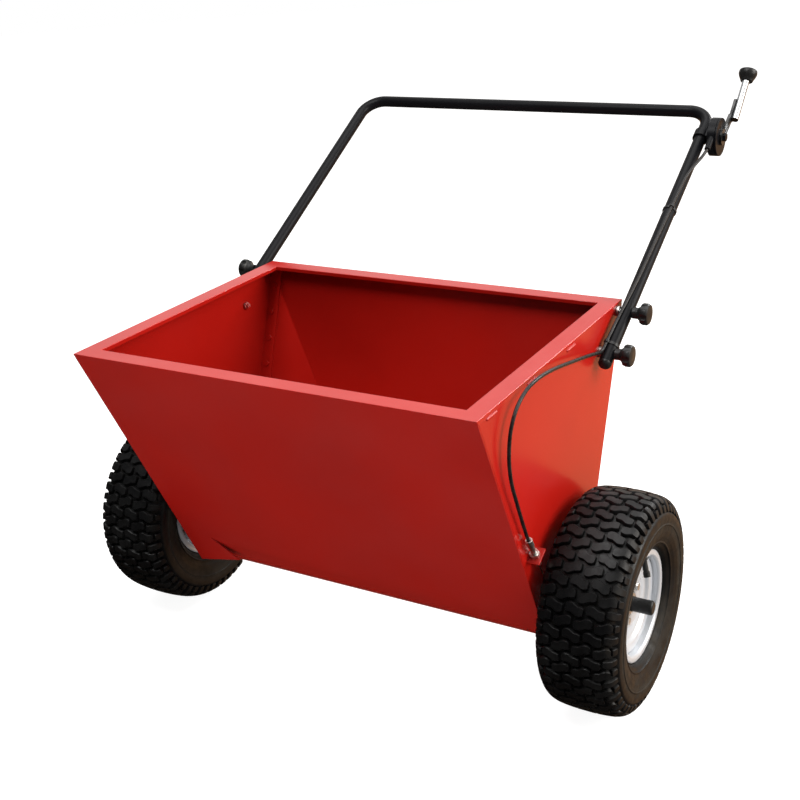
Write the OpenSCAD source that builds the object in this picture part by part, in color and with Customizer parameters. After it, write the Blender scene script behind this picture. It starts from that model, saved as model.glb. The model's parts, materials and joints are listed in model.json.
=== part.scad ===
// Walk-behind drop spreader: a two-wheeled hopper cart with a lever-worked metering gate.
// X runs across the cart, the slanted front faces -Y, the handle is on the +Y side and Z is up.
// The origin is on the ground, under the middle of the whole cart.

/* [Overall] */
// Length from the front rim to the back of the lever knob
overall_l = 944; // [920:1:970]
// Gap between the side panel and the handle leg
leg_gap = 4.3; // [4:0.1:6]

/* [Hopper] */
// Width over the side panels
hopper_w = 650; // [640:1:660]
// Depth of the rim, front to back
hopper_d = 488; // [480:1:496]
// Height of the rim above the ground
rim_z = 548; // [544:1:554]
// Width of the flat rim bar
rim_w = 28.5; // [24:0.5:32]
// Thickness of the flat rim bar
rim_t = 6; // [4:0.5:7]
// Sheet steel thickness
sheet_t = 2.5; // [2:0.1:3]
// Lean of the front panel from the vertical, in degrees
front_lean = 23.7; // [23:0.1:24.4]
// Height of the fold across the front panel
crease_z = 172; // [168:1:178]
// Height of the lowest front corner
corner_z = 100.5; // [98:0.5:104]

/* [Metering gate] */
// Outer radius of the curved floor around the axle
floor_r = 76; // [75:0.5:77]
// Number of drop slots along the floor
slots = 5; // [3:1:6]
// Length of one drop slot
slot_l = 106; // [80:1:108]
// Width of one drop slot, in degrees round the axle
slot_deg = 15; // [12:1:17]
// Turn of the gate from closed to open, in degrees
gate_turn = 23.333; // [22:0.001:24]

/* [Wheels] */
// Outer diameter of the tyre
tyre_od = 330; // [328:1:332]
// Width of the tyre
tyre_w = 124; // [122:1:126]
// Distance between the tyre centres
track = 796.4; // [792:0.1:802]
// Distance of the axle behind the front rim
axle_back = 264; // [262:1:266]
// Diameter of the axle
axle_d = 20; // [20:1:20]

/* [Handle] */
// Diameter of the handle tube
tube_d = 20; // [19:0.5:20]
// Wall of the handle tube
tube_wall = 1.6; // [1.2:0.1:2.5]
// Length from the pivot to the crossbar
handle_l = 542; // [530:1:550]
// Slope of the handle legs above the horizontal, in degrees
handle_tilt = 29.3; // [29:0.1:29.6]
// Centre-line radius of the two tube bends
bend_r = 38; // [34:1:42]
// Distance from the pivot stud to the lock stud
lock_l = 82; // [78:1:84]
// Diameter of the clamping knobs
knob_d = 33; // [28:1:35]

/* [Control lever] */
// Distance of the lever housing from the pivot, along the leg
lever_s = 480; // [474:1:484]
// Turn of the lever from closed to open, in degrees
lever_turn = 70; // [60:1:72]
// Radius of the lever housing
housing_r = 31; // [28:1:32]
// Diameter of the lever knob
ball_d = 32; // [28:1:34]

/* [Hidden] */
$fn = 64;

// Running clearance on a radius and the gap between parts that only pass each other
run = 0.05;
gap = 0.3;

// Places of the driving edges, each as [y, z]
front_y = -overall_l / 2;
rear_y = front_y + hopper_d;
half_w = hopper_w / 2;
in_w = half_w - sheet_t;
panel_z = rim_z - rim_t;
axle = [front_y + axle_back, tyre_od / 2];
tyre_x = track / 2;
axle_r = axle_d / 2;

// Front panel: outer face, its inward normal, the crease and the tangent to the floor
function front_at(z) = front_y + (rim_z - z) * tan(front_lean);
front_n = [cos(front_lean), sin(front_lean)];
crease = [front_at(crease_z), crease_z];
corner = [front_at(corner_z), corner_z];
to_crease = crease - axle;
fold_a = atan2(to_crease[1], to_crease[0]) + acos(floor_r / norm(to_crease));
fold_end = axle + floor_r * [cos(fold_a), sin(fold_a)];
fold_n = -[cos(fold_a), sin(fold_a)];
crease_in = crease + sheet_t * (front_n + fold_n) / (1 + front_n * fold_n);

// Rear panel: its outer face is tangent to the floor
to_axle = axle - [rear_y, rim_z];
rear_run = sqrt(pow(norm(to_axle), 2) - floor_r * floor_r);
rear_a = atan2(to_axle[1], to_axle[0]) + asin(floor_r / norm(to_axle));
rear_dir = [cos(rear_a), sin(rear_a)];
rear_n = [cos(rear_a - 90), sin(rear_a - 90)];
rear_end = [rear_y, rim_z] + rear_run * rear_dir;
rear_foot_a = rear_a + 90;
function rear_at(z) = rear_y + (z - rim_z) * rear_dir[0] / rear_dir[1];

// Rear panel screws: places down the panel and distance from the side
flange_w = 22;
flange_z = 212;
panel_bolt_s = [42, 88, 134, 180];
panel_bolt_x = in_w - 11;

// Gate: a curved shutter just under the floor, carried by an arm at each end
shutter_r = floor_r + 0.6;
shutter_out = shutter_r + sheet_t;
arm_x = half_w + 0.6;
arm_t = 3;
boss_r = 22;
boss_out = 334;
boss_in = 300;
bush_r = 14;

// Control cable: the inner wire pulls the crank along a line that passes crank_r from the axle
wire_x = 332.5;
crank_r = 45.5;
wire_a = 300;
wire_dir = [cos(wire_a), sin(wire_a)];
crank_foot = crank_r * [cos(wire_a - 90), sin(wire_a - 90)];
crank_a = wire_a - 90 + gate_turn / 2;
pin_r = 3;
pin_at = axle + crank_foot + crank_r * tan(gate_turn / 2) * wire_dir;
adjuster_s = 173;
adjuster_at = axle + crank_foot - adjuster_s * wire_dir;

// Wheel profile radii and the offsets from the tyre's middle plane
seat_r = 76.5;
lip_r = 84;
rim_half = 46;
barrel_in = 73;
hub_r = 17;
hub_in = 30;
hub_out = 27;
disc_face = 28;
wheel_bolt_pcd = 52;
cap_r = 11.3;
cap_out = 460;

// Handle
tube_r = tube_d / 2;
leg_x = half_w + leg_gap + tube_r;
leg_dir = [cos(handle_tilt), sin(handle_tilt)];
pivot = [rear_y - 92, rim_z - 53];
lock = pivot + lock_l * leg_dir;
bar = pivot + handle_l * leg_dir;
tube_tail = 18;
stud_r = 4;
stud_end = 366;
neck_r = 8.5;

// Lever: housing beside the leg, drum inside it and a rod that carries the knob. The
// knob's shoulder, ball_high above its middle, is the rearmost point of the cart.
housing = pivot + lever_s * leg_dir;
housing_x = leg_x + tube_r + 8;
drum_r = 2 * crank_r * tan(gate_turn / 2) / (lever_turn * PI / 180);
cover_x = housing_x + 12.5;
arm_plate_x = cover_x + 3;
lever_x = arm_plate_x + 4;
rod_r = 6;
rod_axis_x = lever_x + rod_r - 1;
lever_plate_l = 46;
lever_plate_a = 30;
rod_a = 42;
rod_l = 92;
knob_a = 58;
// Part of the plate that runs along the rod
plate_tail = 34;
rod_dir = [cos(rod_a), sin(rod_a)];
ball_high = 8;
ball_shoulder = ball_d / 2 - 1;
ball_at = [overall_l / 2 - ball_high * cos(knob_a) - ball_shoulder * sin(knob_a), housing[1] + 82];
rod_from = ball_at - housing - rod_l * rod_dir;
lever_bolt_r = 4;

// Rear stand
stand_r = 8;
stand_w = 120;
stand_y = -50;
stand_top = 236;
stand_run = [rear_at(stand_top) + stand_r + 1 - stand_y, stand_top - stand_r];

// Cable: outer casing radius and its hand-laid route, from the adjuster to the lever
casing_r = 2.5;
LOWER_ROUTE = [
    [332.5, -349.2, 318.5], [332.5, -354.4, 327.6], [332.5, -359.5, 337], [333, -375, 370],
    [334, -391, 405], [335, -404, 435], [335.5, -410, 463], [336, -410, 487],
    [336, -404, 509], [336.5, -392, 527.5], [337, -375, 540], [337, -351, 547],
    [337, -320, 548], [337, -285, 544.5], [336.5, -249, 538], [336, -197, 527],
    [335, -143, 515], [334.5, -113, 507.5], [334, -98, 504], [333.5, -87, 504],
    [333.5, -78, 507.5]
];
UPPER_ROUTE = [
    [333.5, -77.4, 507.8], [333.6, -71, 511.4], [334.5, -52, 522], [336, -30, 535],
    [341, 40, 574.5], [343, 110, 613.5], [345, 180, 652], [346, 215, 671.2],
    [347.5, 238, 684.2], [350.5, 253, 692.8], [355.3, 267, 701.4], [360.9, 280.5, 710.2],
    [364.3, 294.5, 718.8]
];

// Helpers
module along_x(x0, x1) translate([x0, 0, 0]) rotate([90, 0, 90]) linear_extrude(x1 - x0) children();
module rod_x(x0, x1, r) translate([x0, 0, 0]) rotate([0, 90, 0]) cylinder(h = x1 - x0, r = r);
module at(p) translate([0, p[0], p[1]]) children();
module mirrored() mirror([1, 0, 0]) children();
module both() {
    children();
    mirrored() children();
}
module ring_x(x0, x1, r_out, r_in) difference() {
    rod_x(x0, x1, r_out);
    rod_x(x0 - 1, x1 + 1, r_in);
}
module turned_x(x, profile) translate([x, 0, 0]) rotate([0, 90, 0]) rotate_extrude() polygon(profile);
module hex_x(x0, x1, flats) translate([x0, 0, 0]) rotate([0, 90, 0])
    cylinder(h = x1 - x0, r = flats / sqrt(3), $fn = 6);
function wedge(a0, a1, r) = concat([[0, 0]], [for (i = [0:3]) let (a = a0 + (a1 - a0) * i / 3)
    r * [cos(a), sin(a)]]);
module arc_plate(x0, x1, r_out, r_in, a0, a1) at(axle) intersection() {
    ring_x(x0, x1, r_out, r_in);
    along_x(x0 - 1, x1 + 1) polygon(wedge(a0, a1, 2 * r_out));
}
// A bar bent to a U: the crossbar lies on local X and the legs run towards local +Y
module u_bar(half, leg_l, bend, r) {
    translate([bend - half, 0, 0]) rotate([0, 90, 0]) cylinder(h = 2 * (half - bend), r = r);
    for (side = [0, 1]) mirror([side, 0, 0]) {
        translate([half, bend, 0]) rotate([-90, 0, 0]) cylinder(h = leg_l - bend, r = r);
        translate([half - bend, bend, 0]) rotate(-90) rotate_extrude(angle = 90)
            translate([bend, 0]) circle(r);
    }
}
// Draws along the handle leg: local Z runs up the leg, from the distance s past the pivot
module on_leg(s) translate([leg_x, pivot[0] + s * leg_dir[0], pivot[1] + s * leg_dir[1]])
    rotate([handle_tilt - 90, 0, 0]) children();
// Draws along the inner wire: local Z runs down the wire from the bracket
module on_wire() translate([wire_x, adjuster_at[0], adjuster_at[1]])
    rotate([wire_a - 90, 0, 0]) children();

// Tube along a smooth curve through the given points
function smooth(p, steps) = [
    for (i = [0:len(p) - 2]) for (k = [0:steps - 1]) let (
        t = k / steps,
        a = p[max(i - 1, 0)],
        b = p[i],
        c = p[i + 1],
        d = p[min(i + 2, len(p) - 1)]
    ) b + 0.5 * t * ((c - a) + t * ((2 * a - 5 * b + 4 * c - d) + t * (3 * (b - c) + d - a))),
    p[len(p) - 1]
];
function unit(v) = v / norm(v);
function ring_at(q, i, r, sides) = let (
    dir = unit(q[min(i + 1, len(q) - 1)] - q[max(i - 1, 0)]),
    u = unit(cross(dir, [1, 0, 0])),
    v = cross(dir, u)
) [for (k = [0:sides - 1]) q[i] + r * (cos(360 * k / sides) * u + sin(360 * k / sides) * v)];
module cord(p, steps, r, sides = 10) {
    q = smooth(p, steps);
    n = len(q);
    points = [for (i = [0:n - 1]) each ring_at(q, i, r, sides)];
    walls = [for (i = [0:n - 2]) for (k = [0:sides - 1])
        let (a = i * sides + k, b = i * sides + (k + 1) % sides) [a, a + sides, b + sides, b]];
    first = [for (k = [0:sides - 1]) k];
    last = [for (k = [0:sides - 1]) n * sides - 1 - k];
    polyhedron(points, concat(walls, [first, last]));
}

// Hopper shell
module side_panel() color("#c8341f") {
    edge = sheet_t / cos(front_lean);
    rear_in = sheet_t * rear_n;
    difference() {
        union() {
            along_x(in_w, half_w) {
                polygon([
                    [front_at(panel_z) + edge, panel_z], [corner[0] + edge, corner_z],
                    axle + floor_r * [cos(-131), sin(-131)], axle, rear_end,
                    [rear_at(panel_z), panel_z]
                ]);
                translate(axle) circle(floor_r);
            }
            // Flange that the rear panel is bolted to
            along_x(in_w - flange_w, in_w) polygon([
                [rear_y, rim_z] + rear_in, [rear_at(flange_z), flange_z] + rear_in,
                [rear_at(flange_z), flange_z] + 2 * rear_in, [rear_y, rim_z] + 2 * rear_in
            ]);
        }
        at(axle) rod_x(in_w - 1, half_w + 1, boss_r);
        for (p = [pivot, lock]) at(p) rod_x(in_w - 1, half_w + 1, stud_r);
        panel_bolt_holes();
        translate([0, 0, panel_z + 50]) cube([hopper_w + 10, 1200, 100], center = true);
    }
}
module right_side_panel() side_panel();
module left_side_panel() mirrored() side_panel();
module front_panel() color("#8e1c17") {
    edge = sheet_t / cos(front_lean);
    along_x(-half_w, half_w) polygon([
        [front_at(panel_z), panel_z], crease, crease_in, [front_at(panel_z) + edge, panel_z]
    ]);
    along_x(-in_w, in_w) polygon([crease, fold_end, fold_end + sheet_t * fold_n, crease_in]);
    // Flat ear beside the folded strip, on the left only
    mirrored() intersection() {
        along_x(0, half_w) polygon([crease, corner, corner + [edge, 0], crease_in]);
        rotate([90, 0, 0]) linear_extrude(height = overall_l, center = true) polygon([
            [half_w, crease_z + 10], [271, crease_z + 10], [271, crease_z],
            [231, crease_z - 46], [half_w, corner_z]
        ]);
    }
}
module rear_panel() color("#8e1c17") difference() {
    along_x(-in_w, in_w) polygon([
        [rear_at(panel_z), panel_z], rear_end, rear_end + sheet_t * rear_n,
        [rear_at(panel_z) - sheet_t / cos(rear_a + 90), panel_z]
    ]);
    panel_bolt_holes();
    stand_bolt_holes();
}
module rim_frame() color("#e0625f") difference() {
    translate([-half_w, front_y, panel_z]) cube([hopper_w, hopper_d, rim_t]);
    translate([rim_w - half_w, front_y + rim_w, panel_z - 1])
        cube([hopper_w - 2 * rim_w, hopper_d - 2 * rim_w, rim_t + 2]);
    // The front and rear faces lie in the planes of the panels
    along_x(-half_w - 1, half_w + 1) {
        polygon([
            [front_y, rim_z], [front_at(panel_z - 1), panel_z - 1],
            [front_y - 5, panel_z - 1], [front_y - 5, rim_z]
        ]);
        polygon([
            [rear_y, rim_z], [rear_at(panel_z - 1), panel_z - 1],
            [rear_y + 5, panel_z - 1], [rear_y + 5, rim_z]
        ]);
    }
}
module slot_cuts(mid_a) {
    pitch = 2 * (in_w - 10) / slots;
    for (i = [0:slots - 1]) translate([(i - (slots - 1) / 2) * pitch, 0, 0]) at(axle)
        along_x(-slot_l / 2, slot_l / 2)
            polygon(wedge(mid_a - slot_deg / 2, mid_a + slot_deg / 2, 2 * floor_r));
}
module metering_floor() color("#8e1c17") difference() {
    arc_plate(-in_w, in_w, floor_r, floor_r - sheet_t, fold_a - 360, rear_foot_a);
    slot_cuts(-90);
}

// Screws that hold the rear panel: head inside, nut behind
module on_panel_bolts() both() for (s = panel_bolt_s)
    translate([panel_bolt_x, rear_y + s * rear_dir[0], rim_z + s * rear_dir[1]])
        rotate([rear_a - 180, 0, 0]) children();
module panel_bolt_holes() on_panel_bolts() translate([0, 0, -20]) cylinder(h = 40, r = 2.5);
module panel_bolts() color("#a8221c") on_panel_bolts() {
    translate([0, 0, -6]) cylinder(h = 2 * sheet_t + 6, r = 2.5);
    translate([0, 0, 2 * sheet_t]) cylinder(h = 2.4, r = 4.6);
    translate([0, 0, -4]) difference() {
        cylinder(h = 4, r = 8 / sqrt(3), $fn = 6);
        translate([0, 0, -1]) cylinder(h = 6, r = 2.5);
    }
}

// Axle bearings in the side panels
module bearing_boss() color("#b9bcc0") at(axle) difference() {
    union() {
        rod_x(boss_in, boss_out, boss_r);
        rod_x(in_w - 4, in_w, boss_r + 10);
    }
    rod_x(boss_in - 1, boss_out + 1, bush_r);
}
module right_bearing_boss() bearing_boss();
module left_bearing_boss() mirrored() bearing_boss();
module axle_bush() color("#b98a3a") at(axle) ring_x(boss_in, boss_out, bush_r, axle_r + run);
module right_axle_bush() axle_bush();
module left_axle_bush() mirrored() axle_bush();
module gate_retaining_rings() color("#8b8f94") both() at(axle)
    ring_x(arm_x + arm_t + gap, arm_x + arm_t + gap + 1.6, boss_r + 5, boss_r);

// Handle studs, each with its round head inside the hopper
module stud(p) at(p) {
    rod_x(in_w - 8, stud_end, stud_r);
    difference() {
        rod_x(in_w - 4.5, in_w, 6.4);
        rod_x(in_w - 5, in_w - 2, 2.6);
    }
}
module pivot_studs() color("#a8a8a8") both() stud(pivot);
module lock_studs() color("#a8a8a8") both() stud(lock);
module stud_spacers() color("#8b8f94") both() for (p = [pivot, lock])
    at(p) ring_x(half_w, half_w + leg_gap - gap, 8, stud_r);

// Cable end at the hopper
module cable_bracket() color("#c8341f") on_wire() difference() {
    translate([half_w - wire_x, -13, -1.5]) cube([wire_x - half_w + 11, 26, 3]);
    translate([0, 0, -5]) cylinder(h = 10, r = 4);
}
module cable_adjuster() color("#c9c4b4") on_wire() difference() {
    union() {
        translate([0, 0, -30]) cylinder(h = 52, r = 4);
        translate([0, 0, -40]) cylinder(h = 14, r = 5);
    }
    translate([0, 0, -31]) cylinder(h = 60, r = 1.6);
    translate([0, 0, -41]) cylinder(h = 11, r = casing_r + gap);
}
module adjuster_nuts() color("#c9c4b4") on_wire() for (z = [-7.5, 1.5]) translate([0, 0, z])
    difference() {
        rotate(30) cylinder(h = 6, r = 13 / sqrt(3), $fn = 6);
        translate([0, 0, -1]) cylinder(h = 8, r = 4);
    }
module cable_lower() color("#151515") cord(LOWER_ROUTE, 2, casing_r);
module inner_wire() color("#c0c4c8") on_wire() translate([0, 0, -4])
    cylinder(h = adjuster_s + crank_r * tan(gate_turn / 2) + 4 + 8, r = 0.9);
module wire_swivel() color("#c0c4c8") at(pin_at) difference() {
    union() {
        rod_x(arm_x - 0.2, arm_x + arm_t + gap, pin_r);
        rod_x(arm_x + arm_t + gap, wire_x + 3, 5.5);
    }
    translate([wire_x, 0, 0]) rotate([wire_a - 90, 0, 0]) cylinder(h = 30, r = 0.9, center = true);
}

// Rear stand
module on_stand() translate([0, stand_y, stand_r])
    rotate([atan2(stand_run[1], stand_run[0]), 0, 0]) children();
module stand_plate() translate([stand_w, rear_at(stand_top), stand_top]) rotate([rear_a + 90, 0, 0])
    translate([-30, 0, -34]) cube([60, 4, 68]);
module stand_bolt_places() both() for (z = [-24, 24])
    translate([stand_w + 20, rear_at(stand_top), stand_top]) rotate([rear_a + 90, 0, 0])
        translate([0, 0, z]) rotate([-90, 0, 0]) children();
module stand_bolt_holes() stand_bolt_places() translate([0, 0, -20]) cylinder(h = 40, r = 3);
module rear_stand() color("#1b1b1b") difference() {
    union() {
        on_stand() u_bar(stand_w, norm(stand_run), 34, stand_r);
        both() stand_plate();
    }
    stand_bolt_holes();
}
module stand_bolts() color("#8b8f94") stand_bolt_places() {
    translate([0, 0, -sheet_t - 3]) cylinder(h = sheet_t + 14, r = 3);
    translate([0, 0, -sheet_t - 3]) cylinder(h = 3, r = 6);
    translate([0, 0, 4]) difference() {
        cylinder(h = 5, r = 10 / sqrt(3), $fn = 6);
        translate([0, 0, -1]) cylinder(h = 7, r = 3);
    }
}

// Metering gate
shut_a0 = -106;
shut_a1 = -50;
module gate_shutter() color("#9aa0a5") difference() {
    arc_plate(-arm_x, arm_x, shutter_out, shutter_r, shut_a0, shut_a1);
    slot_cuts(gate_turn - 90);
}
module gate_arm_shape() difference() {
    union() {
        at(axle) rod_x(arm_x, arm_x + arm_t, boss_r + 8);
        arc_plate(arm_x, arm_x + arm_t, shutter_out, boss_r + 2, shut_a0 + 14, shut_a1 - 14);
        arc_plate(arm_x, arm_x + arm_t, shutter_out, shutter_r - 10, shut_a0, shut_a1);
    }
    at(axle) rod_x(arm_x - 1, arm_x + arm_t + 1, boss_r + run);
}
module left_gate_arm() color("#9aa0a5") mirrored() gate_arm_shape();
module right_gate_arm() color("#9aa0a5") {
    gate_arm_shape();
    // Crank with the radial slot that takes the wire's swivel pin
    at(axle) difference() {
        rotate([crank_a, 0, 0]) union() {
            translate([arm_x, 0, -9]) cube([arm_t, crank_r + 1, 18]);
            translate([0, crank_r + 1, 0]) rod_x(arm_x, arm_x + arm_t, 9);
        }
        rod_x(arm_x - 1, arm_x + arm_t + 1, boss_r + run);
        rotate([crank_a, 0, 0]) {
            for (r = [crank_r - 0.5, crank_r + 1.7])
                translate([0, r, 0]) rod_x(arm_x - 1, arm_x + arm_t + 1, pin_r + 0.25);
            translate([arm_x - 1, crank_r - 0.5, -pin_r - 0.25])
                cube([arm_t + 2, 2.2, 2 * pin_r + 0.5]);
        }
    }
}

// Axle and what turns with it
pin_x = tyre_x - hub_in + 10;
shaft_half = 448;
module axle_shaft() color("#4a4d50") at(axle) difference() {
    rod_x(-shaft_half, shaft_half, axle_r);
    translate([pin_x, 0, -30]) cylinder(h = 60, r = 3);
}
module drive_pin() color("#8b8f94") at(axle) translate([pin_x, 0, -hub_r]) cylinder(h = 2 * hub_r, r = 3);
// Tines stand in shallow seats in the agitator's tube, a quarter turn apart along it
module tines(r, foot) for (i = [0:11]) translate([(i - 5.5) * 48, 0, 0]) rotate([90 * i, 0, 0])
    for (end = [0, 180]) rotate([end, 0, 0])
        translate([0, 0, foot]) cylinder(h = floor_r - sheet_t - foot - 7, r = r);
module agitator() color("#7d8287") at(axle) {
    difference() {
        ring_x(-290, 290, bush_r, axle_r);
        tines(4 + run, bush_r - 1.5);
    }
    tines(4, bush_r - 1.5 + run);
}
module axle_spacers() color("#8b8f94") both() at(axle)
    ring_x(boss_out + gap, tyre_x - hub_in - gap, bush_r, axle_r);
module axle_washers() color("#c4c7ca") both() at(axle)
    ring_x(tyre_x + hub_out + gap, tyre_x + hub_out + gap + 1.6, hub_r - 1, axle_r);
module axle_cap() color("#141414") at(axle) {
    x0 = tyre_x + hub_out + gap + 1.6;
    difference() {
        turned_x(0, [[0, x0], [cap_r, x0], [cap_r, cap_out - 2], [cap_r - 2, cap_out], [0, cap_out]]);
        rod_x(x0 - 1, shaft_half, axle_r);
    }
}
module right_axle_cap() axle_cap();
module left_axle_cap() mirrored() axle_cap();

// Wheel, drawn for the right-hand side; bore is the hub's inside radius
module hub(bore) color("#b4b8bc") at(axle) difference() {
    union() {
        rod_x(tyre_x - hub_in, tyre_x + hub_out, hub_r);
        rod_x(tyre_x + disc_face - 7, tyre_x + disc_face - 3, 36);
    }
    rod_x(tyre_x - hub_in - 1, tyre_x + hub_out + 1, bore);
    wheel_bolt_holes();
}
module right_hub() difference() {
    hub(axle_r);
    at(axle) translate([pin_x, 0, -30]) cylinder(h = 60, r = 3);
}
module left_hub() mirrored() hub(bush_r - 1);
module left_hub_bushes() color("#b98a3a") mirrored() at(axle) {
    ring_x(tyre_x - hub_in, tyre_x - 10, bush_r - 1, axle_r + run);
    ring_x(tyre_x + 4, tyre_x + hub_out, bush_r - 1, axle_r + run);
}
module wheel_bolt_places() for (i = [0:3]) rotate([45 + 90 * i, 0, 0])
    translate([0, wheel_bolt_pcd / 2, 0]) children();
module wheel_bolt_holes() wheel_bolt_places() rod_x(tyre_x, tyre_x + 50, 3);
module rim_barrel() color("#c4c7ca") at(axle) difference() {
    turned_x(tyre_x, [
        [barrel_in, -43], [76, -rim_half], [lip_r, -rim_half], [lip_r, -43], [seat_r, -43],
        [seat_r, -18], [68, -12], [68, 12], [seat_r, 18], [seat_r, 43], [lip_r, 43],
        [lip_r, rim_half], [76, rim_half], [barrel_in, 43], [barrel_in, 19], [65, 13],
        [65, -13], [barrel_in, -19]
    ]);
    valve_shape();
}
module right_rim_barrel() rim_barrel();
module left_rim_barrel() mirrored() rim_barrel();
module wheel_disc() color("#c4c7ca") at(axle) difference() {
    turned_x(tyre_x, [
        [barrel_in, 22], [barrel_in, 34], [59, 34], [53, disc_face], [hub_r, disc_face],
        [hub_r, disc_face - 3], [52, disc_face - 3], [58, 31], [70, 31], [70, 22]
    ]);
    wheel_bolt_holes();
    valve_shape();
}
module right_wheel_disc() wheel_disc();
module left_wheel_disc() mirrored() wheel_disc();
module tyre() color("#121212") at(axle) {
    half = tyre_w / 2;
    crown = tyre_od / 2;
    outside = [
        [lip_r + 0.5, 43], [88, 50], [95, 55], [108, 60], [122, half], [134, half],
        [146, 59], [154, 55], [159.5, 49], [162.5, 40], [164, 28], [crown, 12]
    ];
    inside = [[crown - 11, 14], [151, 36], [142, 48], [124, 54], [106, 52], [94, 46], [85, 36], [seat_r, 33]];
    turned_x(tyre_x, concat(
        [[seat_r, 43]], outside,
        [for (i = [len(outside) - 1:-1:0]) [outside[i][0], -outside[i][1]]], [[seat_r, -43]],
        [for (i = [len(inside) - 1:-1:0]) [inside[i][0], -inside[i][1]]], inside
    ));
}
module right_tyre() tyre();
module left_tyre() mirrored() tyre();
// Valve stem, leaning out of the rim towards the hub
module valve_shape() rotate([75, 0, 0]) translate([tyre_x + 37.5, barrel_in + 2, 0])
    rotate([0, 0, 17]) rotate([90, 0, 0]) {
        cylinder(h = 24, r = 4);
        translate([0, 0, 3]) cylinder(h = 4, r = 5.5);
        translate([0, 0, 24]) cylinder(h = 8, r = 5);
    }
module valve_stem() color("#161616") at(axle) valve_shape();
module right_valve_stem() valve_stem();
module left_valve_stem() mirrored() valve_stem();
module wheel_bolts() color("#d2d4d6") at(axle) wheel_bolt_places() {
    rod_x(tyre_x + disc_face - 14, tyre_x + disc_face + 4, 3);
    hex_x(tyre_x + disc_face, tyre_x + disc_face + 4, 10);
    difference() {
        hex_x(tyre_x + disc_face - 12, tyre_x + disc_face - 7, 10);
        rod_x(tyre_x, tyre_x + 50, 3);
    }
}
module right_wheel_bolts() wheel_bolts();
module left_wheel_bolts() mirrored() wheel_bolts();

// Handle
module handle_tube() color("#161616") difference() {
    translate([0, bar[0], bar[1]]) rotate([180 + handle_tilt, 0, 0]) difference() {
        u_bar(leg_x, handle_l + tube_tail, bend_r, tube_r);
        u_bar(leg_x, handle_l + tube_tail + 1, bend_r, tube_r - tube_wall);
    }
    both() {
        at(pivot) rod_x(half_w, leg_x + 20, stud_r + run);
        // Open notch under the leg: the leg lifts off the lock stud when the handle folds
        at(lock) {
            rod_x(half_w, leg_x + 20, stud_r + gap);
            rotate([handle_tilt, 0, 0]) translate([half_w, -5.2, -tube_d])
                cube([2 * tube_d, 5.2 + stud_r + gap, tube_d]);
        }
    }
}
module handle_end_plugs() color("#0f0f0f") both() on_leg(-tube_tail) rotate([180, 0, 0])
    rotate_extrude() polygon([
        [0, -10], [tube_r - tube_wall, -10], [tube_r - tube_wall, 0], [tube_r, 0], [tube_r, 3],
        [tube_r - 2, 6.5], [tube_r - 5, 8], [0, 8]
    ]);
module knob(p) color("#111111") at(p) difference() {
    x0 = leg_x + tube_r + gap;
    turned_x(0, [
        [0, x0], [neck_r, x0], [neck_r, x0 + 8], [knob_d / 2 - 5, x0 + 12],
        [knob_d / 2 - 1, x0 + 14], [knob_d / 2, x0 + 16], [knob_d / 2, x0 + 23],
        [knob_d / 2 - 2, x0 + 25.5], [knob_d / 2 - 6, x0 + 26.5], [0, x0 + 27]
    ]);
    for (i = [0:5]) rotate([60 * i, 0, 0]) translate([0, knob_d / 2 + 3.5, 0]) rod_x(x0 + 7, x0 + 30, 6);
    rod_x(x0 - 1, stud_end + 1, stud_r + run);
}
module right_pivot_knob() knob(pivot);
module right_lock_knob() knob(lock);
module left_pivot_knob() mirrored() knob(pivot);
module left_lock_knob() mirrored() knob(lock);

// Lever on the right-hand leg
clamp_w = 16;
module lever_clamp() color("#191919") difference() {
    union() {
        on_leg(lever_s - clamp_w / 2) cylinder(h = clamp_w, r = tube_r + 3);
        on_leg(lever_s - clamp_w / 2) translate([0, -9, 0]) cube([housing_x - leg_x, 18, clamp_w]);
    }
    on_leg(lever_s - clamp_w) cylinder(h = 2 * clamp_w, r = tube_r);
    at(housing) rod_x(housing_x - 6, housing_x + 1, 7);
}
module lever_housing() color("#171717") at(housing) difference() {
    union() {
        rod_x(housing_x, housing_x + 2.5, housing_r);
        ring_x(housing_x + 2, cover_x - gap, housing_r, housing_r - 2.5);
        // Spout that takes the cable casing
        rotate([handle_tilt + 5, 0, 0]) translate([housing_x + 7, -46, 18])
            rotate([-90, 0, 0]) cylinder(h = 30, r = 4.8);
    }
    rod_x(housing_x - 1, housing_x + 4, lever_bolt_r);
    rod_x(housing_x + 2.5, cover_x + 5, housing_r - 2.5);
}
module lever_pivot_bolt() color("#b0b4b8") at(housing) {
    rod_x(housing_x - 5, lever_x + 5, lever_bolt_r);
    hex_x(lever_x + gap, lever_x + 5, 12);
    hex_x(housing_x - 5, housing_x, 10);
}
module cable_upper() color("#151515") cord(UPPER_ROUTE, 2, casing_r);
module cable_tie(s, offset) on_leg(s) linear_extrude(4.5) difference() {
    union() {
        circle(tube_r + 1.3);
        translate(offset) circle(casing_r + 1.5);
        rotate(120) translate([tube_r - 1, -3]) square(6);
    }
    circle(tube_r);
    translate(offset) circle(casing_r + 0.2);
}
module cable_ties() color("#0f0f0f") {
    cable_tie(10, [-5.7, -11.8]);
    cable_tie(298, [5.7, -11.6]);
}
module lever_disc() color("#202020") at(housing) difference() {
    union() {
        rod_x(housing_x + 2.5 + gap, cover_x + 1, drum_r);
        rod_x(cover_x, cover_x + 3, housing_r);
    }
    rod_x(housing_x, cover_x + 5, lever_bolt_r + run);
}
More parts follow.
